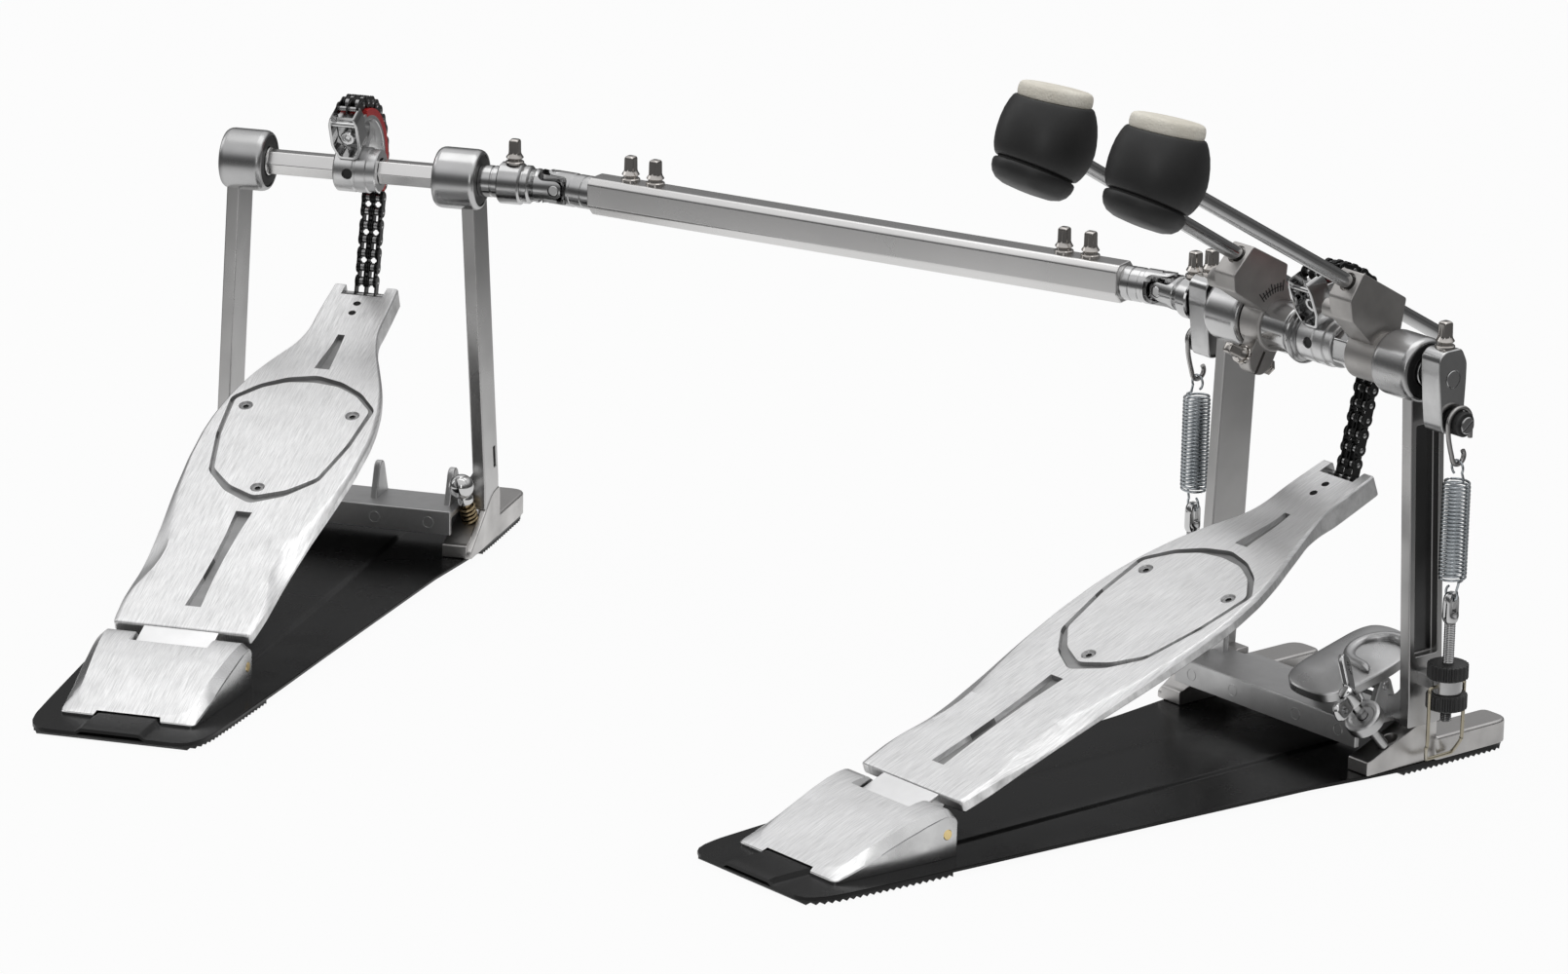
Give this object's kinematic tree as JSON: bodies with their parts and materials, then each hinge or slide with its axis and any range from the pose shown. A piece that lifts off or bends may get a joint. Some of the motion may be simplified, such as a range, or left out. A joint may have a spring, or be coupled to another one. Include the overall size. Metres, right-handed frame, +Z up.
{
  "type": "double bass drum pedal",
  "caption": "Bass drum foot pedals: hinged footboards pull chains over cams that swing felt-faced beaters; a telescoping drive shaft on universal joints links the slave pedal.",
  "frame": {"origin": "on the floor, directly under the middle of the primary pedal axle", "axes": "+X along the primary axle, away from the slave pedal; +Y from the heel towards the drum; +Z up"},
  "size_m": [0.7959, 0.6113, 0.3699],
  "materials": {
    "cast_aluminium": "bead-blasted casting",
    "brushed_aluminium": "brushed along its length",
    "chrome": "bright chrome plate",
    "steel": "bright steel",
    "spring_steel": "zinc plated wire",
    "black_steel": "satin black powder coat",
    "black_chain": "blackened steel",
    "black_rubber": "ribbed matte rubber",
    "black_plastic": "matte moulded",
    "white_felt": "pressed felt",
    "red_liner": "satin moulded",
    "brass": "satin brass"
  },
  "bodies": {
    "primary_base": {"primary_frame": "cast_aluminium", "primary_base_plate": "black_steel", "primary_pads": "black_rubber", "primary_heel_plate": "cast_aluminium", "primary_heel_pin": "brass", "wire_bails": "steel", "tension_nuts": "black_plastic", "right_eye_rod": "chrome", "left_eye_rod": "chrome"},
    "clamp": {"hoop_clamp": "cast_aluminium", "hoop_pad": "black_rubber"},
    "wing_bolt_body": {"wing_bolt": "chrome"},
    "primary_rotor": {"primary_axle": "chrome", "primary_cam": "cast_aluminium", "primary_liner": "red_liner", "primary_cam_chain": "black_chain", "primary_hub": "cast_aluminium", "right_rocker": "chrome", "right_roller": "steel"},
    "primary_beater_body": {"primary_rod": "steel", "primary_beater": "black_plastic", "primary_felt": "white_felt"},
    "primary_board": {"primary_footboard": "brushed_aluminium", "primary_screws": "steel"},
    "primary_run": {"primary_chain": "black_chain"},
    "primary_bend_low": {"primary_bend_a": "black_chain"},
    "primary_bend_high": {"primary_bend_b": "black_chain"},
    "right_hook_body": {"right_hook": "chrome"},
    "right_spring_body": {"right_spring": "spring_steel"},
    "aux_body": {"aux_shaft": "chrome", "slave_hub": "cast_aluminium", "aux_bolts": "chrome", "left_rocker": "chrome", "left_roller": "steel"},
    "slave_beater_body": {"slave_rod": "steel", "slave_beater": "black_plastic", "slave_felt": "white_felt"},
    "left_hook_body": {"left_hook": "chrome"},
    "left_spring_body": {"left_spring": "spring_steel"},
    "right_cross_body": {"right_cross": "chrome"},
    "tube_body": {"drive_tube": "brushed_aluminium", "right_yoke": "chrome", "tube_bolts": "chrome"},
    "slide_rod_body": {"left_yoke": "chrome"},
    "slave_base": {"slave_frame": "cast_aluminium", "slave_base_plate": "black_steel", "slave_pads": "black_rubber", "slave_heel_plate": "cast_aluminium", "slave_heel_pin": "brass", "slave_spur": "chrome"},
    "slave_rotor": {"slave_axle": "chrome", "slave_cam": "cast_aluminium", "slave_liner": "red_liner", "slave_cam_chain": "black_chain"},
    "left_cross_body": {"left_cross": "chrome"},
    "slave_board": {"slave_footboard": "brushed_aluminium", "slave_screws": "steel"},
    "slave_run": {"slave_chain": "black_chain"},
    "slave_bend_low": {"slave_bend_a": "black_chain"},
    "slave_bend_high": {"slave_bend_b": "black_chain"}
  },
  "joints": [
    {"name": "primary_axle_turn", "type": "hinge", "parent": "primary_base", "child": "primary_rotor", "pos_m": [0, 0, 0.217], "axis": [-1, 0, 0], "range_deg": [0, 60], "stiffness_Nm_per_rad": 0.9, "springref_deg": -14.32},
    {"name": "primary_board_turn", "type": "hinge", "parent": "primary_base", "child": "primary_board", "pos_m": [0, -0.2907, 0.0169], "axis": [-1, 0, 0], "range_deg": [0, 7.6]},
    {"name": "primary_run_turn", "type": "hinge", "parent": "primary_board", "child": "primary_run", "pos_m": [0, 0.02015, 0.1378], "axis": [1, 0, 0], "range_deg": [0, 19.2]},
    {"name": "primary_bend_a_turn", "type": "hinge", "parent": "primary_rotor", "child": "primary_bend_low", "pos_m": [0, 0.02056, 0.24955], "axis": [1, 0, 0], "range_deg": [0, 18]},
    {"name": "primary_bend_b_turn", "type": "hinge", "parent": "primary_bend_low", "child": "primary_bend_high", "pos_m": [0, 0.03571, 0.23139], "axis": [1, 0, 0], "range_deg": [0, 36.2], "deforming": ["primary_bend_b"]},
    {"name": "right_hook_turn", "type": "hinge", "parent": "primary_rotor", "child": "right_hook_body", "pos_m": [0, 0.0026, 0.194], "axis": [1, 0, 0], "range_deg": [0, 72]},
    {"name": "right_spring_stretch", "type": "slide", "parent": "right_hook_body", "child": "right_spring_body", "axis": [0, 0, -1], "range_m": [0, 0.0116], "deforming": ["right_spring"]},
    {"name": "primary_beater_slide", "type": "slide", "parent": "primary_rotor", "child": "primary_beater_body", "axis": [0, -0.8686, 0.4955], "range_m": [-0.03, 0.01]},
    {"name": "aux_turn", "type": "hinge", "parent": "primary_base", "child": "aux_body", "pos_m": [0, 0, 0.217], "axis": [-1, 0, 0], "range_deg": [0, 59.22], "stiffness_Nm_per_rad": 0.9, "springref_deg": -14.32},
    {"name": "slave_beater_slide", "type": "slide", "parent": "aux_body", "child": "slave_beater_body", "axis": [0, -0.8616, 0.5075], "range_m": [-0.03, 0.01]},
    {"name": "slave_distance", "type": "slide", "parent": "primary_base", "child": "slave_base", "axis": [-0.9397, -0.3419, 0], "range_m": [0, 0.06]},
    {"name": "left_hook_turn", "type": "hinge", "parent": "aux_body", "child": "left_hook_body", "pos_m": [0, 0.0026, 0.194], "axis": [1, 0, 0], "range_deg": [0, 72]},
    {"name": "left_spring_stretch", "type": "slide", "parent": "left_hook_body", "child": "left_spring_body", "axis": [0, 0, -1], "range_m": [0, 0.0116], "deforming": ["left_spring"]},
    {"name": "right_cross_turn", "type": "hinge", "parent": "aux_body", "child": "right_cross_body", "pos_m": [-0.1205, 0, 0.217], "axis": [0, -1, 0], "range_deg": [0, 18]},
    {"name": "tube_spin", "type": "hinge", "parent": "primary_base", "child": "tube_body", "pos_m": [-0.1205, 0, 0.217], "axis": [-0.9397, -0.3419, 0], "range_deg": [0, 62]},
    {"name": "slide_rod_spin", "type": "hinge", "parent": "slave_base", "child": "slide_rod_body", "pos_m": [-0.48134, -0.13127, 0.217], "axis": [-0.9397, -0.3419, 0], "range_deg": [0, 62]},
    {"name": "slave_axle_turn", "type": "hinge", "parent": "slave_base", "child": "slave_rotor", "pos_m": [-0.581, -0.199, 0.217], "axis": [-0.8271, -0.5621, 0], "range_deg": [0, 61]},
    {"name": "left_cross_turn", "type": "hinge", "parent": "slave_rotor", "child": "left_cross_body", "pos_m": [-0.48134, -0.13127, 0.217], "axis": [-0.5621, 0.8271, 0], "range_deg": [0, 13.5]},
    {"name": "slave_board_turn", "type": "hinge", "parent": "slave_base", "child": "slave_board", "pos_m": [-0.4176, -0.43943, 0.0169], "axis": [-0.8271, -0.5621, 0], "range_deg": [0, 7.7]},
    {"name": "slave_run_turn", "type": "hinge", "parent": "slave_board", "child": "slave_run", "pos_m": [-0.59232, -0.18234, 0.1378], "axis": [0.8271, 0.5621, 0], "range_deg": [0, 19.3]},
    {"name": "slave_bend_a_turn", "type": "hinge", "parent": "slave_rotor", "child": "slave_bend_low", "pos_m": [-0.59255, -0.182, 0.24955], "axis": [0.8271, 0.5621, 0], "range_deg": [0, 18.2]},
    {"name": "slave_bend_b_turn", "type": "hinge", "parent": "slave_bend_low", "child": "slave_bend_high", "pos_m": [-0.60107, -0.16947, 0.23139], "axis": [0.8271, 0.5621, 0], "range_deg": [0, 36.5], "deforming": ["slave_bend_b"]},
    {"name": "hoop_clamp_turn", "type": "hinge", "parent": "primary_base", "child": "clamp", "pos_m": [0, -0.008, 0.045], "axis": [-1, 0, 0], "range_deg": [0, 20]},
    {"name": "wing_bolt_advance", "type": "slide", "parent": "clamp", "child": "wing_bolt_body", "axis": [0, 0.6428, -0.766], "range_m": [0, 0.0095]}
  ],
  "couplings": [
    {"joint": "primary_board_turn", "follows": "primary_axle_turn", "ratio": 0.125},
    {"joint": "primary_run_turn", "follows": "primary_axle_turn", "ratio": 0.31395},
    {"joint": "primary_bend_a_turn", "follows": "primary_axle_turn", "ratio": 0.29441},
    {"joint": "primary_bend_b_turn", "follows": "primary_axle_turn", "ratio": 0.59636},
    {"joint": "right_hook_turn", "follows": "primary_axle_turn", "ratio": 1.1909},
    {"joint": "right_spring_stretch", "follows": "primary_axle_turn", "m_per_rad": 0.010863},
    {"joint": "left_hook_turn", "follows": "aux_turn", "ratio": 1.1925},
    {"joint": "left_spring_stretch", "follows": "aux_turn", "m_per_rad": 0.010836},
    {"joint": "right_cross_turn", "follows": "aux_turn", "ratio": 0.29313},
    {"joint": "tube_spin", "follows": "aux_turn", "ratio": 1.026},
    {"joint": "slide_rod_spin", "follows": "aux_turn", "ratio": 1.026},
    {"joint": "slave_axle_turn", "follows": "aux_turn", "ratio": 1.0131},
    {"joint": "left_cross_turn", "follows": "aux_turn", "ratio": 0.20887},
    {"joint": "slave_board_turn", "follows": "aux_turn", "ratio": 0.12664},
    {"joint": "slave_run_turn", "follows": "aux_turn", "ratio": 0.31806},
    {"joint": "slave_bend_a_turn", "follows": "aux_turn", "ratio": 0.29828},
    {"joint": "slave_bend_b_turn", "follows": "aux_turn", "ratio": 0.60418},
    {"joint": "wing_bolt_advance", "follows": "hoop_clamp_turn", "m_per_rad": 0.0265}
  ]
}
